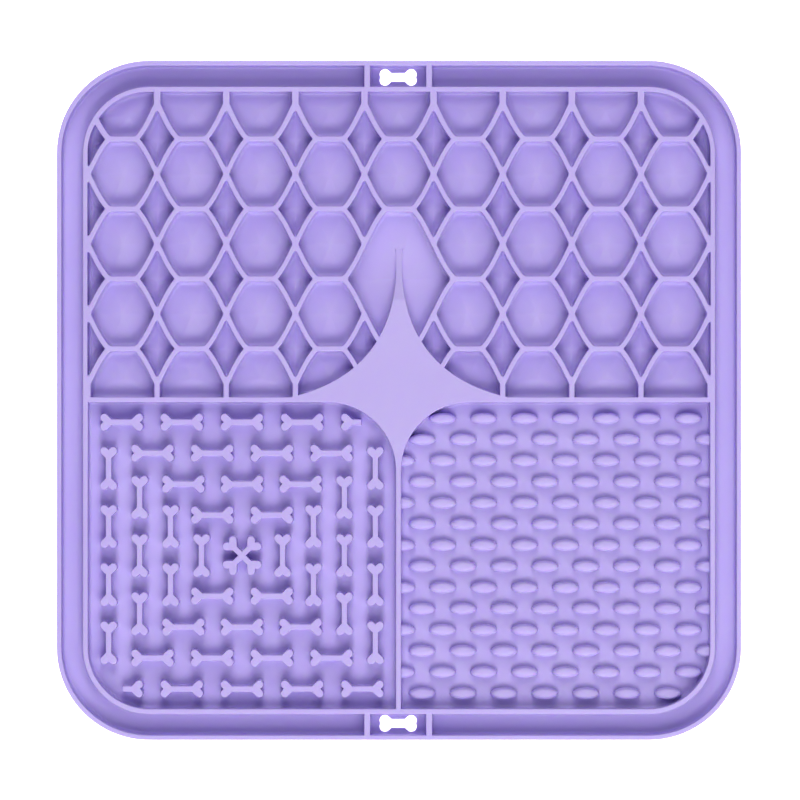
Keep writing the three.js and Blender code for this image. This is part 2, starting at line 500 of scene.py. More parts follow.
def as_object(solids: Iterable[Solid], name: str) -> bpy.types.Object:
    """Puts several solids into one mesh object.

    Args:
        solids: the solids, which are used up.
        name: the object's name.

    Returns:
        The new object, linked to the scene.
    """
    whole = bmesh.new()
    for solid in solids:
        part = bpy.data.meshes.new(name)
        solid.bm.to_mesh(part)
        solid.bm.free()
        whole.from_mesh(part)
        bpy.data.meshes.remove(part)
    mesh = bpy.data.meshes.new(name)
    whole.to_mesh(mesh)
    whole.free()
    made = bpy.data.objects.new(name, mesh)
    bpy.context.scene.collection.objects.link(made)
    return made


def combine(target: bpy.types.Object, tool: bpy.types.Object, cut: Cut) -> None:
    """Adds a tool solid to a target, or cuts it away, and removes the tool.

    Args:
        target: the solid that changes.
        tool: the solid that changes it.
        cut: what the tool does.
    """
    modifier = target.modifiers.new("combine", "BOOLEAN")
    modifier.operation = cut.value
    modifier.solver = "MANIFOLD"
    modifier.object = tool
    depsgraph = bpy.context.evaluated_depsgraph_get()
    result = bpy.data.meshes.new_from_object(target.evaluated_get(depsgraph))
    target.modifiers.clear()
    used = [target.data, tool.data]
    target.data = result
    bpy.data.objects.remove(tool)
    for mesh in used:
        bpy.data.meshes.remove(mesh)


@dataclass(frozen=True)
class Mould:
    """The sizes that the whole mat shares.

    Attributes:
        width: the mat's size along X.
        depth: its size along Y.
        height: its full height.
        corner_radius: the radius of its corners in plan.
        floor: the thickness of the floor under the wells.
        outer_rim: the outer rim's width.
        gutter: the gutter's width.
        inner_rim: the inner rim's width.
        divider: the width of the bars that part the quarters.
        divider_x: the middle of the bar that runs along Y.
        divider_y: the middle of the bar that runs along X.
        edge: the radius along every top edge.
        foot: the radius where a tall wall meets a floor.
        draft: how far a tall wall leans out on its way down.
        star_corner: the radius of the two corners below the star.
        hanger_x: the x of the hanging slots and of the ribs beside them.
    """

    width: float = 200.0
    depth: float = 198.5
    height: float = 8.0
    corner_radius: float = 27.0
    floor: float = 2.0
    outer_rim: float = 1.4
    gutter: float = 6.2
    inner_rim: float = 1.5
    divider: float = 1.56
    divider_x: float = -0.17
    divider_y: float = 0.22
    edge: float = 0.25
    foot: float = 0.8
    draft: float = 0.05
    star_corner: float = 20.0
    hanger_x: float = -0.25

    @property
    def outside(self) -> Sides:
        """The mat's outline."""
        x, y = self.width / 2, self.depth / 2
        return Sides(-x, x, -y, y, (self.corner_radius,) * 4)

    @property
    def wells(self) -> Sides:
        """The outline inside the inner rim."""
        return self.outside.grown(-self.outer_rim - self.gutter - self.inner_rim)

    @property
    def divider_back(self) -> float:
        """The y of the face that the hexagon half ends at."""
        return self.divider_y + self.divider / 2

    @property
    def divider_front(self) -> float:
        """The y of the face that both front quarters end at."""
        return self.divider_y - self.divider / 2

    @property
    def well_depth(self) -> float:
        """How far the wells' floors lie below the rims' tops."""
        return self.height - self.floor


@dataclass
class Base:
    """The base plate with its outer rim, gutter and inner rim, and a flat top inside them.

    Attributes:
        mould: the shared sizes.
        under_edge: the radius round the underside.
        corner_segments: the number of edges in each corner.
    """

    mould: Mould
    under_edge: float = 0.5
    corner_segments: int = 20

    def build(self) -> bpy.types.Object:
        """Grows the base from its outline.

        Returns:
            The object that the wells are then cut into.
        """
        mould = self.mould
        outside = mould.outside
        wall = mould.well_depth - mould.edge - mould.foot
        piece = Piece(outside.corners(), self.under_edge, up=True)
        piece.round_rectangle(outside.radii, self.corner_segments)
        piece.grow([Step(0, mould.height - self.under_edge - mould.edge)])
        piece.grow(meet_flat(mould.edge))
        piece.grow([Step(mould.outer_rim - 2 * mould.edge, 0)])
        piece.grow(lowered(leave_flat(mould.edge)))
        piece.grow([Step(mould.draft, -wall)])
        piece.grow(lowered(meet_flat(mould.foot, FOOT_STEPS)))
        piece.grow([Step(mould.gutter - 2 * (mould.draft + mould.foot), 0)])
        piece.grow(leave_flat(mould.foot, FOOT_STEPS))
        piece.grow([Step(mould.draft, wall)])
        piece.grow(meet_flat(mould.edge))
        piece.close()
        piece.grow(meet_flat(self.under_edge))
        return as_object([piece], "mat_skin")


@dataclass
class HexagonField:
    """The back half: bowed hexagons, the diamonds between them and the part cells round them.

    Attributes:
        mould: the shared sizes.
        columns: the number of columns of hexagons.
        rows: the number of whole hexagons in a column.
        pitch_y: the distance between two hexagons in a column.
        middle_row: the y of the middle row.
        bar_half: half the length of a cell's straight bar.
        rib: the width of a rib.
        stub_rib: the width of the short ribs along the back rim.
        bow: how far a slanting rib bends out of its hexagon.
        bow_lean: how many times further its deepest bend is from its tip than from its bar.
        bow_steps: the number of edges along a slanting rib.
        corner: the radius of a hexagon's corners.
        tip: the radius of a diamond's corners.
        foot: the radius where a rib meets a cell's floor.
        most_foot: the most of a small cell's half width that its foot takes up.
        crown: how much higher a hexagon's middle is than its edge.
        crown_rings: the number of rings in that dome.
        rim_segments: the number of edges that the field's round corners are cut with.
    """

    mould: Mould
    columns: int = 9
    rows: int = 3
    pitch_y: float = 20.44
    middle_row: float = 45.76
    bar_half: float = 4.1
    rib: float = 1.5
    stub_rib: float = 1.9
    bow: float = 0.4
    bow_lean: float = 1.5
    bow_steps: int = 6
    corner: float = 1.3
    tip: float = 0.5
    foot: float = 1.0
    most_foot: float = 0.45
    crown: float = 1.5
    crown_rings: int = 6
    rim_segments: int = 10

    @property
    def pitch_x(self) -> float:
        """The distance between two columns."""
        return (self.mould.wells.right - self.mould.wells.left) / self.columns

    def build(self) -> bpy.types.Object:
        """Makes the solids that are cut out of the base, one for each cell.

        Returns:
            One object that holds them all.
        """
        pieces = [piece for outline in self._outlines() if (piece := self._hollow(outline))]
        LOG.info("hexagon half: %d cells", len(pieces))
        return as_object(pieces, "cells")

    def _outlines(self) -> Iterator[list[Vector]]:
        """Gives every cell's outline.

        The arm cell takes the place of the two front hexagons in the middle column, and of the
        diamonds on both sides between them. The star covers the half cell in front of it.

        Yields:
            Each cell's corners along the middles of its ribs.
        """
        rows = [self.middle_row + row * self.pitch_y for row in spread(self.rows)]
        between = [self.middle_row + row * self.pitch_y for row in spread(self.rows + 1)]
        back_row, front_row = rows[-1] + self.pitch_y, rows[0] - self.pitch_y
        arm_rows = rows[:2]
        yield self._arm_cell(*arm_rows)
        for column in spread(self.columns):
            x = column * self.pitch_x
            for y in rows:
                if column != 0 or y not in arm_rows:
                    yield self._hexagon(x, y)
            yield self._half_hexagon(x, back_row, 1, (self.stub_rib - self.rib) / 2)
            if column != 0:
                yield self._half_hexagon(x, front_row, -1, 0)
        for column in spread(self.columns + 1):
            for row, y in enumerate(between):
                if abs(column) > 1 or row != 1:
                    yield self._diamond(column * self.pitch_x, y)

    def _hexagon(self, x: float, y: float) -> list[Vector]:
        """Gives a whole hexagon.

        Args:
            x: its middle's x.
            y: its middle's y.

        Returns:
            The corners, anticlockwise.
        """
        bar, half_x, half_y = self.bar_half, self.pitch_x / 2, self.pitch_y / 2
        right = [(x + bar, y - half_y), (x + half_x, y), (x + bar, y + half_y)]
        left = [(x - bar, y + half_y), (x - half_x, y), (x - bar, y - half_y)]
        return [Vector(corner) for corner in right + left]

    def _half_hexagon(self, x: float, y: float, side: int, narrower: float) -> list[Vector]:
        """Gives half a hexagon whose straight sides run on into a rim or the divider.

        Args:
            x: the column's middle.
            y: where the straight sides start.
            side: 1 where they run towards the back, and -1 towards the front.
            narrower: how much less wide the cell is on each side.

        Returns:
            The corners, anticlockwise.
        """
        half_x = self.pitch_x / 2 - narrower
        bar_y, end_y = y - side * self.pitch_y / 2, y + side * self.pitch_y / 2
        right = [(x + self.bar_half, bar_y), (x + half_x, y), (x + half_x, end_y)]
        left = [(2 * x - corner_x, corner_y) for corner_x, corner_y in reversed(right)]
        corners = [Vector(corner) for corner in right + left]
        return corners if side > 0 else corners[::-1]

    def _diamond(self, x: float, y: float) -> list[Vector]:
        """Gives the diamond between four hexagons.

        Args:
            x: its middle's x.
            y: its middle's y.

        Returns:
            The corners, anticlockwise.
        """
        half_x, half_y = self.pitch_x / 2 - self.bar_half, self.pitch_y / 2
        corners = [(x, y - half_y), (x + half_x, y), (x, y + half_y), (x - half_x, y)]
        return [Vector(corner) for corner in corners]

    def _arm_cell(self, low: float, high: float) -> list[Vector]:
        """Gives the tall cell round the star's arm, where the ribs between four cells are left out.

        Args:
            low: the y of the lower hexagon's middle.
            high: the y of the upper hexagon's middle.

        Returns:
            The corners, anticlockwise.
        """
        half_x, half_y = self.pitch_x / 2, self.pitch_y / 2
        right = [
            (self.bar_half, low - half_y),
            (half_x, low),
            (self.pitch_x - self.bar_half, low + half_y),
            (half_x, high),
            (self.bar_half, high + half_y),
        ]
        left = [(-x, y) for x, y in reversed(right)]
        return [Vector(corner) for corner in right + left]

    def _bowed(self, corners: list[Vector]) -> list[Vector]:
        """Bends each slanting side out of the hexagon that it belongs to.

        Args:
            corners: the cell's corners.

        Returns:
            The corners with the points between them.
        """
        bent = []
        peak = 1 / (1 + self.bow_lean)
        most = peak * (1 - peak) ** self.bow_lean
        for start, end in zip(corners, corners[1:] + corners[:1]):
            bent.append(start)
            along = end - start
            if min(abs(along.x), abs(along.y)) < STRAIGHT:
                continue
            middle = (start + end) / 2
            hexagon = self._nearest_hexagon(middle)
            across = Vector((-along.y, along.x)).normalized()
            side = math.copysign(self.bow, across.dot(middle - hexagon))
            starts_at_bar = abs(start.y - hexagon.y) > self.pitch_y / 4
            for i in range(1, self.bow_steps):
                place = i / self.bow_steps
                from_bar = place if starts_at_bar else 1 - place
                bulge = from_bar * (1 - from_bar) ** self.bow_lean / most
                bent.append(start.lerp(end, place) + across * side * bulge)
        return bent

    def _nearest_hexagon(self, point: Vector) -> Vector:
        """Finds the hexagon that a slanting rib belongs to.

        Args:
            point: the rib's middle.

        Returns:
            The hexagon's middle.
        """
        row = round((point.y - self.middle_row) / self.pitch_y)
        column = round(point.x / self.pitch_x)
        return Vector((column * self.pitch_x, self.middle_row + row * self.pitch_y))

    def _hollow(self, corners: list[Vector]) -> Piece | None:
        """Makes the solid that is cut away for one cell.

        Args:
            corners: the cell's corners along the middles of its ribs.

        Returns:
            The solid, or nothing where the cell lies outside the field.
        """
        mould = self.mould
        field_sides = Sides(
            mould.wells.left,
            mould.wells.right,
            mould.divider_back,
            mould.wells.back,
            (0, 0, mould.wells.radii[2], mould.wells.radii[3]),
        ).grown(mould.edge)
        outline = moved_inwards(self._bowed(corners), self.rib / 2 - mould.edge)
        piece = Piece(outline, mould.height + OVERRUN, up=False)
        is_diamond = len(corners) == 4
        piece.soften(self.tip if is_diamond else self.corner, EDGE_STEPS)
        for point, outwards in clip_lines(field_sides, self.rim_segments):
            if not piece.is_gone():
                piece.clip(point, outwards)
        if piece.is_gone():
            return None
        reach = piece.reach()
        foot = min(self.foot, self.most_foot * (reach - mould.edge))
        piece.grow([Step(0, OVERRUN + LIP)])
        piece.draw_in(sunk(mould.well_depth, foot, mould.edge, mould.draft))
        piece.crown(self.crown * min(1, 2 * reach / self.pitch_y), self.crown_rings)
        return piece.close()


def clip_lines(sides: Sides, count: int) -> Iterator[tuple[Vector, Vector]]:
    """Gives the lines that bound a rectangle with rounded corners.

    Args:
        sides: the rectangle.
        count: the number of lines round each corner.

    Yields:
        A point on each line, and the line's outwards direction.
    """
    yield Vector((sides.left, 0)), Vector((-1, 0))
    yield Vector((sides.right, 0)), Vector((1, 0))
    yield Vector((0, sides.front)), Vector((0, -1))
    yield Vector((0, sides.back)), Vector((0, 1))
    for quarter, (corner, radius) in enumerate(zip(sides.corners(), sides.radii)):
        if not radius:
            continue
        start = math.pi + quarter * math.pi / 2
        inwards = -Vector((math.cos(start + math.pi / 4), math.sin(start + math.pi / 4)))
        middle = corner + inwards * radius * math.sqrt(2)
        for i in range(count):
            angle = start + math.pi / 2 * (i + 0.5) / count
            outwards = Vector((math.cos(angle), math.sin(angle)))
            yield middle + outwards * radius, outwards


@dataclass
class Star:
    """The upper half of the star: two hollow flanks and the long arm that slopes to the floor.

    Attributes:
        mould: the shared sizes.
        reach: the x where a flank leaves the divider.
        flank_top: the y where a flank meets the arm.
        bend: the point that pulls each flank in.
        arm_half: half the arm's width.
        tip: the y of the arm's end.
        tip_steps: the number of edges in each half of that end.
        ramp_start: the y where the arm's top starts to slope.
        nib: the arm's height above the floor at its end.
        foot: the radius where the star meets the floor.
        flank_steps: the number of edges along each flank.
    """

    mould: Mould
    reach: float = 31.7
    flank_top: float = 36.8
    bend: Vector = field(default_factory=lambda: Vector((2.6, 7.8)))
    arm_half: float = 0.9
    tip: float = 46.2
    tip_steps: int = 4
    ramp_start: float = 29.0
    nib: float = 0.2
    foot: float = 0.9
    flank_steps: int = 24

    def build(self) -> bpy.types.Object:
        """Grows the star from the floor, then lowers its arm.

        Returns:
            The solid that is added to the mat.
        """
        mould = self.mould
        outline = moved_inwards(self._outline(), -self.foot)
        piece = Piece(outline, mould.floor - OVERRUN, up=True)
        piece.grow(raised(mould.well_depth, self.foot, mould.edge, foot_steps=FOOT_STEPS))
        piece.close()
        self._slope(piece)
        return as_object([piece], "star")

    def _outline(self) -> list[Vector]:
        """Draws the star's outline.

        Returns:
            Its corners, anticlockwise from the buried edge in the divider.
        """
        start = Vector((self.reach, self.mould.divider_back))
        end = Vector((self.arm_half, self.flank_top))
        places = [i / self.flank_steps for i in range(self.flank_steps + 1)]
        flank = [
            start * (1 - t) ** 2 + self.bend * 2 * t * (1 - t) + end * t**2 for t in places
        ]
        end_middle = Vector((0, self.tip - self.arm_half))
        right = [
            Vector((self.reach, self.mould.divider_y)),
            *flank,
            *arc(end_middle, self.arm_half, 0, math.pi / 2, self.tip_steps),
        ]
        left = [Vector((-point.x, point.y)) for point in reversed(right[:-1])]
        return right + left

    def _slope(self, piece: Piece) -> None:
        """Lowers the arm from where its ramp starts, so that it fades into the floor.

        Args:
            piece: the grown star.
        """
        floor = self.mould.floor
        piece.split(Vector((0, self.ramp_start)), Vector((0, 1)))
        least = self.nib / self.mould.well_depth
        for vert in piece.bm.verts:
            if vert.co.z > floor and vert.co.y > self.ramp_start:
                left = (self.tip - vert.co.y) / (self.tip - self.ramp_start)
                vert.co.z = floor + (vert.co.z - floor) * (least + (1 - least) * max(0.0, left))


@dataclass
class GutterRibs:
    """The short ribs that cross the gutter on both sides of each slot.

    Attributes:
        mould: the shared sizes.
        width: a rib's width.
        from_centre: its distance from the slot's middle.
        foot: the radius where it meets the gutter's floor.
    """

    mould: Mould
    width: float = 1.75
    from_centre: float = 9.05
    foot: float = 0.5

    def pieces(self) -> Iterator[Piece]:
        """Makes the four ribs.

        Yields:
            Each rib, with its ends sunk into the rims.
        """
        mould = self.mould
        outer = mould.depth / 2 - mould.outer_rim / 2
        inner = mould.depth / 2 - mould.outer_rim - mould.gutter - mould.inner_rim / 2
        for side_x in (-1, 1):
            for side_y in (-1, 1):
                x = mould.hanger_x + side_x * self.from_centre
                front, back = sorted((side_y * outer, side_y * inner))
                half = self.width / 2 + self.foot
                sides = Sides(x - half, x + half, front, back, (0,) * 4)
                piece = Piece(sides.corners(), mould.floor - OVERRUN, up=True)
                piece.grow(raised(mould.well_depth, self.foot, mould.edge))
                yield piece.close()


@dataclass(frozen=True)
class BoneShape:
    """A bone in plan: a straight shaft with two round knuckles at each end.

    Attributes:
        length: its whole length.
        width: its width over the knuckles.
        shaft: the shaft's width.
        knuckle: a knuckle's radius.
        steps: the number of edges round each knuckle.
    """

    length: float
    width: float
    shaft: float
    knuckle: float
    steps: int = 8

    def grown(self, distance: float) -> "BoneShape":
        """Returns the same bone, grown on all its sides."""
        return BoneShape(
            self.length + 2 * distance,
            self.width + 2 * distance,
            self.shaft + 2 * distance,
            self.knuckle + distance,
            self.steps,
        )

    def outline(self) -> list[Vector]:
        """Draws the bone along X.

        Returns:
            Its corners, anticlockwise.
        """
        x, y = self.length / 2 - self.knuckle, self.width / 2 - self.knuckle
        neck = x - y - math.sqrt(2) * self.knuckle + self.shaft / 2
        inner = min(math.pi / 4, math.asin(min(1, y / self.knuckle)))
        notch = x + self.knuckle * (math.cos(inner) + math.sin(inner)) - y
        lower = arc(Vector((x, -y)), self.knuckle, -0.75 * math.pi, inner, self.steps)
        upper = arc(Vector((x, y)), self.knuckle, -inner, 0.75 * math.pi, self.steps)
        meet = [] if inner < math.pi / 4 else [Vector((notch, 0))]
        if not meet:
            upper = upper[1:]
        shaft = self.shaft / 2
        right = [Vector((neck, -shaft)), *lower, *meet, *upper, Vector((neck, shaft))]
        return right + [-point for point in right]


@dataclass(frozen=True)
class BoneSquare:
    """One of the nested squares that the bones lie along.

    Attributes:
        offset: the distance from the squares' middle to each side.
        across: the number of bones on the front side, and on the back side.
        pitch: the distance between two of those bones.
        down: the number of bones on the left side, and on the right side.
    """

    offset: float
    across: int
    pitch: float
    down: int


@dataclass
class Bones:
    """The small raised bones on four nested squares, with two crossed bones in the middle.

    Attributes:
        mould: the shared sizes.
        shape: a bone's plan.
        height: how far a bone stands above the floor.
        foot: the radius where it meets the floor.
        edge: the radius along its top.
        draft: how far its wall leans out on its way down.
        pitch_down: the distance between two bones on a left or right side.
        squares: the squares, from the outermost to the innermost.
    """

    mould: Mould
    shape: BoneShape = BoneShape(length=12.6, width=5.06, shaft=1.7, knuckle=1.2)
    height: float = 5.0
    foot: float = 0.3
    edge: float = 0.2
    draft: float = 0.04
    pitch_down: float = 17.0
    squares: tuple[BoneSquare, ...] = (
        BoneSquare(offset=39.0, across=5, pitch=17.6, down=4),
        BoneSquare(offset=29.95, across=4, pitch=17.45, down=3),
        BoneSquare(offset=20.9, across=3, pitch=17.15, down=2),
        BoneSquare(offset=11.85, across=2, pitch=17.4, down=1),
    )

    @property
    def middle(self) -> Vector:
        """The middle of the squares."""
        mould, wells = self.mould, self.mould.wells
        left_face = mould.divider_x - mould.divider / 2
        return Vector(((wells.left + left_face) / 2, (wells.front + mould.divider_front) / 2))

    def crossed(self, side: int) -> Piece:
        """Returns one of the two crossed bones, which leans to that side."""
        return self._bone(self.middle, side * math.pi / 4)

    def pieces(self) -> Iterator[Piece]:
        """Makes the bones of all the squares.

        Yields:
            Each bone, with two of the outermost square cut to half their length.
        """
        for square in self.squares:
            last = (square.across - 1) / 2
            for side in (-1, 1):
                for step in spread(square.across):
                    is_cut = square is self.squares[0] and step * side == last
                    keep = -math.copysign(1, step) if is_cut else 0
                    place = self.middle + Vector((step * square.pitch, side * square.offset))
                    yield self._bone(place, 0, keep)
                for step in spread(square.down):
                    place = self.middle + Vector((side * square.offset, step * self.pitch_down))
                    yield self._bone(place, math.pi / 2)

    def _bone(self, place: Vector, turn: float, keep: float = 0) -> Piece:
        """Grows one bone.

        Args:
            place: its middle in plan.
            turn: its turn in plan, in radians.
            keep: 1 or -1 keeps only the half on that side, and 0 the whole bone.

        Returns:
            The closed bone in its place.
        """
        outline = self.shape.grown(self.foot).outline()
        piece = Piece(outline, self.mould.floor - OVERRUN, up=True)
        if keep:
            piece.clip(Vector((0, 0)), Vector((-keep, 0)))
        piece.grow(raised(self.height, self.foot, self.edge, self.draft))
        turned = Matrix.Rotation(turn, 4, "Z")
        return piece.close().place(Matrix.Translation(place.to_3d()) @ turned)


@dataclass
class Ovals:
    """Ovals in staggered rows, each with a steep side and a domed top.

    Attributes:
        mould: the shared sizes.
        length: an oval's size along X.
        width: its size along Y.
        height: how far its crown stands above the floor.
        fullness: how steep its side is, from 1 for a plain ball down to 0 for a drum.
        pitch_x: the distance between two ovals in a row.
        pitch_y: the distance between two rows.
        first_x: the x of the first oval's middle.
        first_y: the y of the first oval's middle.
        stagger: how far every second row is moved along X.
        rows: the number of rows.
        per_row: the number of ovals in a row.
        sides: the number of edges round an oval.
        rings: the number of rings in the ball that it is shaped from.
        corner_segments: the number of edges in each corner of the outline round them.
    """

    mould: Mould
    length: float = 8.0
    width: float = 3.4
    height: float = 3.4
    fullness: float = 0.5
    pitch_x: float = 11.99
    pitch_y: float = 6.195
    first_x: float = 0.83
    first_y: float = -5.3
    stagger: float = 5.96
    rows: int = 14
    per_row: int = 8
    sides: int = 24
    rings: int = 16
    corner_segments: int = 12

    def build(self, limits: Sides) -> bpy.types.Object:
        """Makes the domes that stand in the tray.

        Args:
            limits: the outline that they are cut off at, inside the rims.

        Returns:
            One object that holds them all.
        """
        domes = []
        for row in range(self.rows):
            first = self.first_x + row % 2 * self.stagger
            y = self.first_y - row * self.pitch_y
            for i in range(self.per_row):
                domes.append(self._dome(first + i * self.pitch_x, y))
        made = as_object(domes, "ovals")
        keeper = Piece(limits.corners(), 0, up=True)
        keeper.round_rectangle(limits.radii, self.corner_segments)
        keeper.grow([Step(0, self.mould.height)])
        combine(made, as_object([keeper.close()], "keeper"), Cut.KEEP)
        return made

    def _dome(self, x: float, y: float) -> Solid:
        """Shapes one dome from a ball, with its lower half pressed flat under the floor.

        Args:
            x: the dome's middle along X.
            y: its middle along Y.

        Returns:
            The dome in its place.
        """
        dome = Solid()
        bmesh.ops.create_uvsphere(
            dome.bm, u_segments=self.sides, v_segments=self.rings, radius=1
        )
        buried = OVERRUN / 2 / self.height
        for vert in dome.bm.verts:
            out = math.hypot(vert.co.x, vert.co.y)
            if out > SPECK:
                vert.co.xy *= out ** (self.fullness - 1)
            lift = abs(vert.co.z) ** self.fullness
            vert.co.z = lift if vert.co.z > 0 else -lift * buried
        size = Matrix.Diagonal((self.length / 2, self.width / 2, self.height, 1))
        return dome.place(Matrix.Translation((x, y, self.mould.floor)) @ size)


@dataclass
class Trays:
    """The two hollows of the front half, which hold the bones and the ovals.

    Attributes:
        mould: the shared sizes.
        corner_segments: the number of edges in each corner.
    """

    mould: Mould
    corner_segments: int = 16

    @property
    def bone_sides(self) -> Sides:
        """The outline of the front left quarter."""
        mould, wells = self.mould, self.mould.wells
        right = mould.divider_x - mould.divider / 2
        radii = (wells.radii[0], 0, mould.star_corner, 0)
        return Sides(wells.left, right, wells.front, mould.divider_front, radii)

    @property
    def oval_sides(self) -> Sides:
        """The outline of the front right quarter."""
        mould, wells = self.mould, self.mould.wells
        left = mould.divider_x + mould.divider / 2
        radii = (0, wells.radii[1], 0, mould.star_corner)
        return Sides(left, wells.right, wells.front, mould.divider_front, radii)

    def build(self) -> bpy.types.Object:
        """Makes the two solids that are cut out of the base."""
        sides = (self.bone_sides, self.oval_sides)
        return as_object([self._hollow(each) for each in sides], "trays")

    def _hollow(self, sides: Sides) -> Piece:
        """Makes the solid that is cut away for one tray.

        Args:
            sides: the tray's outline.

        Returns:
            The closed solid.
        """
        mould = self.mould
        grown = sides.grown(mould.edge)
        piece = Piece(grown.corners(), mould.height + OVERRUN, up=False)
        piece.round_rectangle(grown.radii, self.corner_segments)
        piece.grow([Step(0, OVERRUN + LIP)])
        piece.grow(sunk(mould.well_depth, mould.foot, mould.edge, mould.draft, FOOT_STEPS))
        return piece.close()


@dataclass
class HangingSlots:
    """The two bone-shaped slots through the gutter's floor.

    Attributes:
        mould: the shared sizes.
        shape: a slot's plan.
        edge: the radius along its upper edge.
    """

    mould: Mould
    shape: BoneShape = BoneShape(length=10.95, width=4.96, shaft=2.6, knuckle=1.62)
    edge: float = 0.3

    def build(self) -> bpy.types.Object:
        """Makes the two solids that are cut through the floor.

        Returns:
            One object that holds them both.
        """
        mould = self.mould
        middle = mould.depth / 2 - mould.outer_rim - mould.gutter / 2
        pieces = []
        for side in (-1, 1):
            piece = Piece(self.shape.grown(self.edge).outline(), mould.floor + OVERRUN, up=False)
            piece.grow([Step(0, OVERRUN + LIP)])
            piece.grow(leave_flat(self.edge))
            piece.grow([Step(0, mould.floor - self.edge + OVERRUN)])
            at = Matrix.Translation((mould.hanger_x, side * middle, 0))
            pieces.append(piece.close().place(at))
        return as_object(pieces, "slots")


def set_inputs(node: bpy.types.Node, **values: float | tuple[float, ...]) -> None:
    """Sets a node's own inputs.

    Args:
        node: the node.
        values: a value for each input, by its name with underscores for spaces.
    """
    for name, value in values.items():
        node.inputs[name.replace("_", " ")].default_value = value


@dataclass(frozen=True)
class Silicone:
    """Soft matte silicone, dyed right through.

    Attributes:
        color: the dye's colour.
        deep: the same dye where the tone drifts darker.
        drift: how many times the tone drifts in a metre.
        drift_detail: how many finer drifts it holds.
        drift_from: the place in the drift where the darker tone ends.
        drift_to: the place in the drift where the lighter tone starts.
        roughness: how matte the skin is.
        unevenness: how far the grain changes that.
        gloss: how strongly the skin reflects.
        soak: the share of the light that goes in under the skin.
        soak_reach: how far each colour of light goes there, as a share of soak_depth.
        soak_depth: that distance, in metres.
        grain: the size of the mould's grain, in metres.
        grain_detail: how many finer grains it holds.
        bump: the height of the grain, in metres.
        bump_strength: the share of that height that shows.
    """

    color: tuple[float, float, float] = (0.56, 0.485, 0.81)
    deep: tuple[float, float, float] = (0.54, 0.46, 0.795)
    drift: float = 28.0
    drift_detail: float = 4.0
    drift_from: float = 0.3
    drift_to: float = 0.7
    roughness: float = 0.5
    unevenness: float = 0.06
    gloss: float = 0.35
    soak: float = 0.3
    soak_reach: tuple[float, float, float] = (0.8, 0.35, 1.6)
    soak_depth: float = 0.001
    grain: float = 0.0006
    grain_detail: float = 3.0
    bump: float = 0.00002
    bump_strength: float = 0.5

    def material(self) -> bpy.types.Material:
        """Builds the shader.

        Returns:
            The material.
        """
        made = bpy.data.materials.new("lilac_silicone")
        made.use_nodes = True
        nodes, links = made.node_tree.nodes, made.node_tree.links
        shader = nodes["Principled BSDF"]
        set_inputs(
            shader,
            Subsurface_Weight=self.soak,
            Subsurface_Radius=self.soak_reach,
            Subsurface_Scale=self.soak_depth,
            Specular_IOR_Level=self.gloss,
        )
        place = nodes.new("ShaderNodeTexCoord")
        drift = nodes.new("ShaderNodeTexNoise")
        set_inputs(drift, Scale=self.drift, Detail=self.drift_detail)
        tint = nodes.new("ShaderNodeValToRGB")
        darker, lighter = tint.color_ramp.elements
        darker.color = (*self.deep, 1)
        darker.position = self.drift_from
        lighter.color = (*self.color, 1)
        lighter.position = self.drift_to
        grain = nodes.new("ShaderNodeTexNoise")
        set_inputs(grain, Scale=1 / self.grain, Detail=self.grain_detail)
        matte = nodes.new("ShaderNodeMapRange")
        lowest, highest = self.roughness - self.unevenness, self.roughness + self.unevenness
        set_inputs(matte, To_Min=lowest, To_Max=highest)
        bump = nodes.new("ShaderNodeBump")
        set_inputs(bump, Strength=self.bump_strength, Distance=self.bump)
        links.new(place.outputs["Object"], drift.inputs["Vector"])
        links.new(place.outputs["Object"], grain.inputs["Vector"])
        links.new(drift.outputs["Fac"], tint.inputs["Fac"])
        links.new(tint.outputs["Color"], shader.inputs["Base Color"])
        links.new(grain.outputs["Fac"], matte.inputs["Value"])
        links.new(matte.outputs["Result"], shader.inputs["Roughness"])
        links.new(grain.outputs["Fac"], bump.inputs["Height"])
        links.new(bump.outputs["Normal"], shader.inputs["Normal"])
        return made


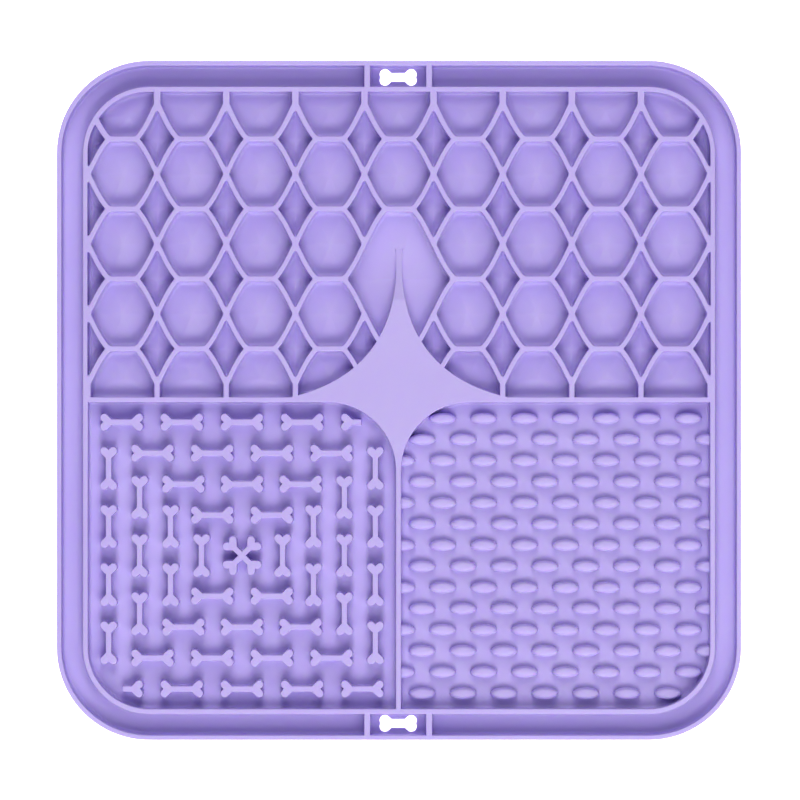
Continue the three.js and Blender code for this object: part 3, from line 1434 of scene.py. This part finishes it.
@dataclass
class LickMat:
    """The whole mat as one moulded skin.

    Attributes:
        mould: the shared sizes.
        finish: the silicone that it is moulded from.
        sharp: the angle past which an edge is shaded as a crease, in degrees.
    """

    mould: Mould = field(default_factory=Mould)
    finish: Silicone = field(default_factory=Silicone)
    sharp: float = 60.0

    def build(self) -> bpy.types.Object:
        """Makes the skin and puts it in the CAD node's place.

        Returns:
            The finished object, in metres.
        """
        skin = self._moulded()
        skin.data.transform(Matrix.Scale(MM, 4))
        self._shade(skin)
        skin.data.materials.clear()
        skin.data.materials.append(self.finish.material())
        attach(skin, BODY)
        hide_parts(NODE)
        return skin

    def _moulded(self) -> bpy.types.Object:
        """Cuts the wells and slots into the base, and adds what stands in them.

        Returns:
            The skin, in millimetres.
        """
        mould = self.mould
        skin = Base(mould).build()
        combine(skin, HexagonField(mould).build(), Cut.REMOVE)
        trays = Trays(mould)
        combine(skin, trays.build(), Cut.REMOVE)
        bones = Bones(mould)
        standing = [*bones.pieces(), bones.crossed(1), *GutterRibs(mould).pieces()]
        combine(skin, as_object(standing, "bones"), Cut.ADD)
        combine(skin, as_object([bones.crossed(-1)], "crossed_bone"), Cut.ADD)
        limits = trays.oval_sides.grown(mould.inner_rim / 2)
        combine(skin, Ovals(mould).build(limits), Cut.ADD)
        combine(skin, Star(mould).build(), Cut.ADD)
        combine(skin, HangingSlots(mould).build(), Cut.REMOVE)
        return skin

    def _shade(self, skin: bpy.types.Object) -> None:
        """Smooths the rounds and keeps the flat faces flat.

        Args:
            skin: the skin, in metres.
        """
        mesh = skin.data
        mesh.polygons.foreach_set("use_smooth", [True] * len(mesh.polygons))
        mesh.set_sharp_from_angle(angle=math.radians(self.sharp))
        weighted = skin.modifiers.new("even_normals", "WEIGHTED_NORMAL")
        weighted.mode = "FACE_AREA"
        weighted.keep_sharp = True


@dataclass(frozen=True)
class SoftBox:
    """A square soft light that looks at the mat.

    Attributes:
        name: what the light is called.
        turn: where it stands round the mat, in degrees from X.
        rise: how high it stands, in degrees.
        power: its power, in watts.
        size: its size, in metres.
        away: its distance from the mat, in metres.
    """

    name: str
    turn: float
    rise: float
    power: float
    size: float = 0.7
    away: float = 1.7

    def hang(self) -> None:
        """Adds the light to the scene."""
        data = bpy.data.lights.new(self.name, "AREA")
        data.energy = self.power
        data.shape = "SQUARE"
        data.size = self.size
        light = bpy.data.objects.new(self.name, data)
        turn, rise = math.radians(self.turn), math.radians(self.rise)
        level = self.away * math.cos(rise)
        height = self.away * math.sin(rise)
        light.location = (level * math.cos(turn), level * math.sin(turn), height)
        light.rotation_mode = "QUATERNION"
        light.rotation_quaternion = light.location.to_track_quat("Z", "Y")
        bpy.context.scene.collection.objects.link(light)


@dataclass
class Studio:
    """A pale floor, soft light and a camera straight above the mat.

    Attributes:
        view_width: the width that the camera sees at the mat's top, in metres.
        view_centre: the point of the mat under the camera, in metres.
        lens: the camera's focal length, in millimetres.
        sensor: the width of its sensor, in millimetres.
        clip: how many times nearer and further than the mat the camera still sees.
        floor_size: the floor's size, in metres.
        floor_color: the floor's colour.
        floor_roughness: how matte the floor is.
        floor_gloss: how strongly it reflects.
        floor_glow: how much light it gives off by itself.
        lights: the soft lights round the mat.
        sky: how bright the surroundings are.
        view_transform: how the picture's light becomes its colours.
        look: the contrast that the picture is developed with.
    """

    view_width: float = 0.2337
    view_centre: tuple[float, float] = (0.00029, 0.00011)
    lens: float = 250.0
    sensor: float = 36.0
    clip: float = 10.0
    floor_size: float = 6.0
    floor_color: tuple[float, float, float] = (0.95, 0.95, 0.96)
    floor_roughness: float = 0.9
    floor_gloss: float = 0.1
    floor_glow: float = 0.8
    lights: tuple[SoftBox, ...] = (
        SoftBox("front_low", turn=-90, rise=23, power=5.0),
        SoftBox("front_high", turn=-90, rise=60, power=7.9),
        SoftBox("right_low", turn=-45, rise=27, power=3.3),
        SoftBox("right_high", turn=-45, rise=60, power=2.5),
        SoftBox("left_low", turn=-135, rise=35, power=1.3),
        SoftBox("back_low", turn=90, rise=33, power=4.5),
        SoftBox("back_high", turn=90, rise=60, power=4.6),
    )
    sky: float = 0.13
    view_transform: str = "Standard"
    look: str = "High Contrast"

    def build(self) -> None:
        """Adds the floor, the lights and the camera."""
        self._floor()
        self._lights()
        self._camera()

    def _floor(self) -> None:
        """Lays a white floor under the mat."""
        bm = bmesh.new()
        bmesh.ops.create_grid(bm, x_segments=1, y_segments=1, size=self.floor_size / 2)
        mesh = bpy.data.meshes.new("floor")
        bm.to_mesh(mesh)
        bm.free()
        floor = bpy.data.objects.new("floor", mesh)
        bpy.context.scene.collection.objects.link(floor)
        white = bpy.data.materials.new("white_floor")
        white.use_nodes = True
        set_inputs(
            white.node_tree.nodes["Principled BSDF"],
            Base_Color=(*self.floor_color, 1),
            Roughness=self.floor_roughness,
            Specular_IOR_Level=self.floor_gloss,
            Emission_Color=WHITE,
            Emission_Strength=self.floor_glow,
        )
        mesh.materials.append(white)
        floor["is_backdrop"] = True

    def _lights(self) -> None:
        """Hangs the soft lights, and lights the surroundings evenly."""
        for light in self.lights:
            light.hang()
        world = bpy.data.worlds.new("surroundings")
        world.use_nodes = True
        set_inputs(world.node_tree.nodes["Background"], Color=WHITE, Strength=self.sky)
        bpy.context.scene.world = world
        bpy.context.scene.view_settings.view_transform = self.view_transform
        bpy.context.scene.view_settings.look = self.look

    def _camera(self) -> None:
        """Points a long lens straight down."""
        data = bpy.data.cameras.new("camera")
        data.lens = self.lens
        data.sensor_width = self.sensor
        top = CAD_BOUNDS[1].z
        away = self.view_width * self.lens / self.sensor
        data.clip_start = away / self.clip
        data.clip_end = away * self.clip
        camera = bpy.data.objects.new("camera", data)
        camera.location = (*self.view_centre, top + away)
        bpy.context.scene.collection.objects.link(camera)
        bpy.context.scene.camera = camera


def write_sizes() -> None:
    """Gathers the CAD box and the visual model's box, and keeps neither."""
    boxes = {"cad": CAD_BOUNDS, "visual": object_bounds()}
    {name: [list(corner) for corner in box] for name, box in boxes.items()}


def main() -> None:
    """Builds the mat, then the studio round it."""
    logging.basicConfig(level=logging.INFO)
    skin = LickMat().build()
    LOG.info("%s: %d faces", skin.name, len(skin.data.polygons))
    studio = Studio()
    studio.build()
    LOG.info("studio: %d lights", len(studio.lights))
    write_sizes()


if __name__ == "__main__":
    main()
